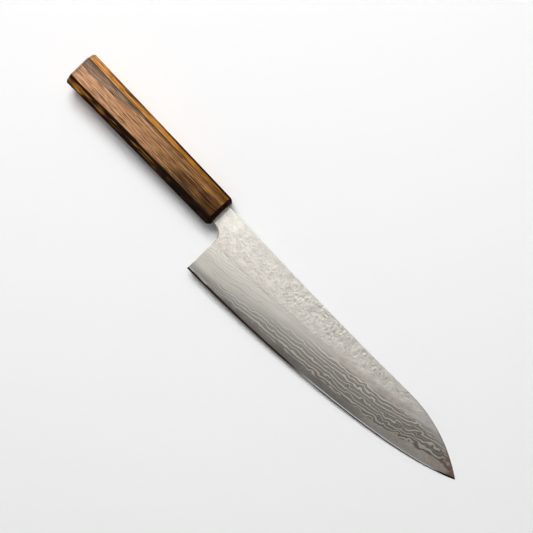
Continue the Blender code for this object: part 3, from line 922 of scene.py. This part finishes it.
def handle_marks(rings):
    """What flame and hand left, for every point. Sides count from the upper facet by the spine (0) over the
    top flat (1) and the edge's side (2 to 4) to the spine's flat (7). Scorch says how burnt the wood is, ash
    how pale a brown, arris how dark a corner. The top flat has a grey wedge, as strong as grey says, and wedge
    is the distance from its border in mm."""
    x, y = rings[..., 0], rings[..., 1]
    per_side = ARC_STEPS + FLAT_STEPS
    column = np.arange(8 * per_side)
    side, step = column // per_side, column % per_side
    in_arc = step < ARC_STEPS
    edge_side, top_or_low = np.isin(side, (2, 3, 4)), np.isin(side, (1, 5))
    at_end = ease(-x, HANDLE_LENGTH - 0.25, HANDLE_LENGTH)

    stops = (-124.2, -122.6, -104, -87, -71, -54, -37, -21, -2.5, -2.0, FRONT_X)
    spine_facet = (-0.1, -0.45, 0.12, 0.34, 0.06, 0.18, 0.46, 0.58, 0.72, 1.3, 1.4)
    flat = (0.3, -0.4, -0.06, 0.12, 0.18, 0.44, 0.55, 0.66, 0.70, 1.4, 1.5)
    edge_facet = (0.1, 0.60, 0.62, 0.84, 1.18, 0.84, 0.92, 1.30, 1.2, 1.3, 1.3)
    by_side = (spine_facet, flat, edge_facet, edge_facet, edge_facet, flat, spine_facet, flat)
    scorch = np.stack([np.interp(x[:, 0], stops, by_side[s]) for s in side], axis=1)
    scorch = scorch + 0.25 * layered_noise(x / 30.0, column / 16.0 + x * 0, 71)
    way_over = ((step - ARC_STEPS + 1) / (FLAT_STEPS + 1)).clip(0, 1)
    middle = np.where(in_arc, 0.0, np.sin(math.pi * way_over**0.7))
    patches = 0.8 * noise(x / 6.0, column / 2.5 + x * 0, 77)
    scorch = scorch + edge_side * (0.32 - 0.50 * middle + patches)
    outer = (side == 0) * ease(step, 10, 2)
    scorch = scorch + outer * np.interp(x, (-124, -90, -50), (0.3, 0.6, 0.9))
    scorch = scorch - top_or_low * ease(y, 0.5, 5.5) * np.interp(x, (-70, -10), (0.0, 0.32))
    scorch = scorch + (0.15 - scorch) * at_end

    ash = top_or_low * np.interp(x, (-124, -60, 0), (1.0, 0.85, 0.35))
    ash = np.maximum(ash, ~edge_side * np.interp(x, (-124, -50), (0.25, 0.0)))
    ash = ash + (0.4 - ash) * at_end
    wedge = y - np.interp(x, (-124, -111, -97, -87, -67), (1.9, 2.0, 2.8, 4.2, 7.0))
    grey = 0.9 * (side == 1) * ease(-x, 50, 74) * (1 - at_end)
    bend = np.where(in_arc, np.sin(math.pi * step / (ARC_STEPS - 1)) * 0.6 + 0.4, 0.0)
    lengthwise = ease(x, -HANDLE_LENGTH, 1.4 - HANDLE_LENGTH) * ease(-x, 0.1, 1.5)
    end_arris = 0.7 * np.exp(-(((x + HANDLE_LENGTH - 1.5) / 0.35) ** 2))
    arris = np.maximum(bend * lengthwise, end_arris)
    return {"scorch": scorch, "ash": ash, "arris": arris, "grey": grey, "wedge": wedge}


def build_handle():
    rings = handle_rings()
    piece = skin("handle_skin", rings, burnt_oak(), **handle_marks(rings))
    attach(piece, "root")
    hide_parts("handle_body")


build_handle()

# %% [markdown]
# ## Wax collar and dowel
# The tang is held in a slotted dowel of pale magnolia, and hard wax closes the bore's mouth. The wax was
# poured, so its face sinks a little between the tang and the wall. The dowel's solid is right as it is and
# only gets a better finish.

# %% Build the collar
SLOT_HALF = (5.3, 1.33)
COLLAR_RADIUS = 6.3


def wax():
    made, n, shader = start_material("hard_wax_poured")
    place = timber_place(n)
    cloud = n.grain(place, (2.0, 2.0, 2.0), 3.0, 0.6)
    tone = n.mix(cloud, (0.020, 0.013, 0.010), (0.055, 0.034, 0.022))
    n.look(shader, tone, n.rise(cloud, 0.3, 0.7, 0.30, 0.48), cloud, 0.0001)
    return made


def build_collar():
    """Around: an angle. Across: a share from the tang's slot, a superellipse, to the bore's wall, a circle."""
    angle = np.linspace(0, math.tau, 97)[:-1]
    c, s = np.cos(angle), np.sin(angle)
    slot = np.stack([half * np.sign(v) * np.abs(v) ** 0.25 for half, v in zip(SLOT_HALF, (c, s))], axis=-1)
    wall = COLLAR_RADIUS * np.stack([c, s], axis=-1)
    share = np.array([0, 0, 0.03, 0.15, 0.4, 0.65, 0.88, 0.97, 1, 1, 0.5])
    depth = np.array([-2.2, -0.12, -0.06, -0.22, -0.42, -0.45, -0.3, -0.16, -0.12, -2.2, -2.2])
    points = slot[:, None] + share[None, :, None] * (wall - slot)[:, None]
    return np.dstack([np.broadcast_to(depth, points.shape[:2]), points])


collar = ring_skin("collar_skin", build_collar(), wax())
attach(collar, "root")
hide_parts("bore_collar")


# %% Finish the dowel
def magnolia():
    made, n, shader = start_material("pale_magnolia_turned")
    wood = n.use(wood_grain, Place=timber_place(n), Pith=(0.0, -20.0, 14.0), Lean=0.01)
    tone = n.mix(wood["Rings"], (0.60, 0.49, 0.31), (0.50, 0.38, 0.22))
    tone = n.mix(wood["Pores"], tone, (0.35, 0.25, 0.14))
    rough = n.rise(wood["Fibre"], 0.3, 0.7, 0.55, 0.68)
    n.look(shader, tone, rough, wood["Height"], 0.00004)
    return made


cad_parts["tang_dowel"].material_slots[0].material = magnolia()

# %% [markdown]
# ## The table
# A knife laid down on its side does not lie flat. The handle is thicker than the blade, and the balance point
# lies some way along the blade. So the knife tips forward until it rests on its tip and on the front end of
# the handle's lower flat. The table is the plane through those contacts, tilted by 2.4 degrees along the
# knife. Seen from below it lets the view through, so that it never hides the knife.
#
# No softbox reaches the table's far parts, so they get a glow, like pale walls. Only camera, mirrored and
# refracted rays see it, so it lights nothing.

# %% Build the table
def table_finish():
    """A pale cloudy stone, with a glow that grows from 0.25 m to 1.5 m away."""
    made, n, shader = start_material("pale_table_top")
    raw = n.node("TexCoord", {}, 3)
    cloud = n.node("TexNoise", {"Vector": raw, "Scale": 9.0, "Detail": 3.0})
    stone = n.mix(cloud, (0.935, 0.935, 0.94), (0.955, 0.955, 0.955))
    n.feed(shader.inputs["Base Color"], stone)
    far = n.node("VectorMath", {0: raw, 1: (VIEW_CENTRE.x, 0.0, 0.0)}, 1, operation="DISTANCE")
    ray = n.node("LightPath", {}).node.outputs
    seen = n.calc("MAXIMUM", ray["Is Camera Ray"], ray["Is Glossy Ray"])
    seen = n.calc("MAXIMUM", seen, ray["Is Transmission Ray"])
    glow = n.rise(far, 0.25, 1.5, 0.0, 0.8)
    n.feed(shader.inputs["Emission Strength"], n.times(glow, seen))
    n.feed(shader.inputs["Roughness"], n.rise(cloud, 0.3, 0.7, 0.6, 0.7))
    shader.inputs["Specular IOR Level"].default_value = 0.2
    clear = n.node("BsdfTransparent", {})
    behind = n.node("NewGeometry", {}, 6)
    shown = n.node("MixShader", {0: behind, 1: shader.outputs[0], 2: clear})
    n.feed(n.tree.nodes["Material Output"].inputs["Surface"], shown)
    return made


def build_table():
    """A disc of rings round a point under the blade. Height = tip height + slope (x - tip x)."""
    centre_x, tip_height, corner_x, corner_height = 40, -0.05, -1.6, -9.45
    slope = (tip_height - corner_height) / (TIP_X - corner_x)
    radius = np.array([100, 300, 800, 2000, 5000, 12000])[:, None]
    angle = np.linspace(0, math.tau, 65)[:-1]
    x, y = centre_x + radius * np.cos(angle), radius * np.sin(angle)
    rings = to_model(np.dstack([x, y, tip_height + slope * (x - TIP_X)]))
    index = np.arange(x.size).reshape(x.shape)
    faces = [index[0].tolist()] + band(index)[:, ::-1].tolist()
    table = mesh_object("table_top", rings.reshape(-1, 3), faces, table_finish())
    table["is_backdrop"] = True
    print("table slopes along the knife by", round(slope, 4))


build_table()

# %% [markdown]
# ## Light
# One large softbox hangs beyond the top of the picture, about 28 degrees off the vertical. It makes the
# shadow on the lower left of the handle, dark at its foot and gone within 12 mm, and it is what the blade
# mirrors: brightest near the handle, falling off towards the tip. The room itself is dim overhead and pale
# near the horizon, like studio walls.

# %% Set up light and world
def softbox(name, heading, share, reach, size):
    """A disc of light. A white surface facing up receives share of full white: power = share pi^2 d^2 / cos."""
    heading = Vector(heading).normalized()
    data = bpy.data.lights.new(name, "AREA")
    data.shape = "DISK"
    data.size = size
    data.energy = share * math.pi**2 * reach**2 / heading.z
    turn = heading.to_track_quat("Z", "Y").to_matrix().to_4x4()
    lamp = new_object(name, data)
    lamp.matrix_world = Matrix.Translation(VIEW_CENTRE + heading * reach) @ turn


softbox("key_softbox", (-0.45, 0.30, 1.0), 0.70, 1.6, 0.85)
softbox("wide_softbox", (-0.40, 0.25, 1.0), 0.22, 1.6, 2.2)
softbox("fill_softbox", (0.50, -0.15, 1.0), 0.02, 1.6, 1.0)


def light_world():
    world = bpy.data.worlds.new("studio")
    world.use_nodes = True
    bpy.context.scene.world = world
    n = Nodes(world.node_tree)
    heading = n.node("TexCoord", {}, 0)
    up = n.node("SeparateXYZ", {0: heading}, 2)
    tone = n.mix(n.rise(up, 0.06, 0.30), (0.80, 0.80, 0.81), (0.10, 0.10, 0.10))
    n.feed(n.tree.nodes["Background"].inputs["Color"], tone)


light_world()

# %% [markdown]
# ## Close
# The visible knife should fill the same box as the solid one, so how far each corner of its box lies from the
# solid one's is printed.

# %% Write the sizes and finish
visual_box = [list(corner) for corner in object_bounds()]
grown = [[round((v - c) * 1000, 2) for v, c in zip(*pair)] for pair in zip(visual_box, cad_box)]
print("grown by", grown, "mm")
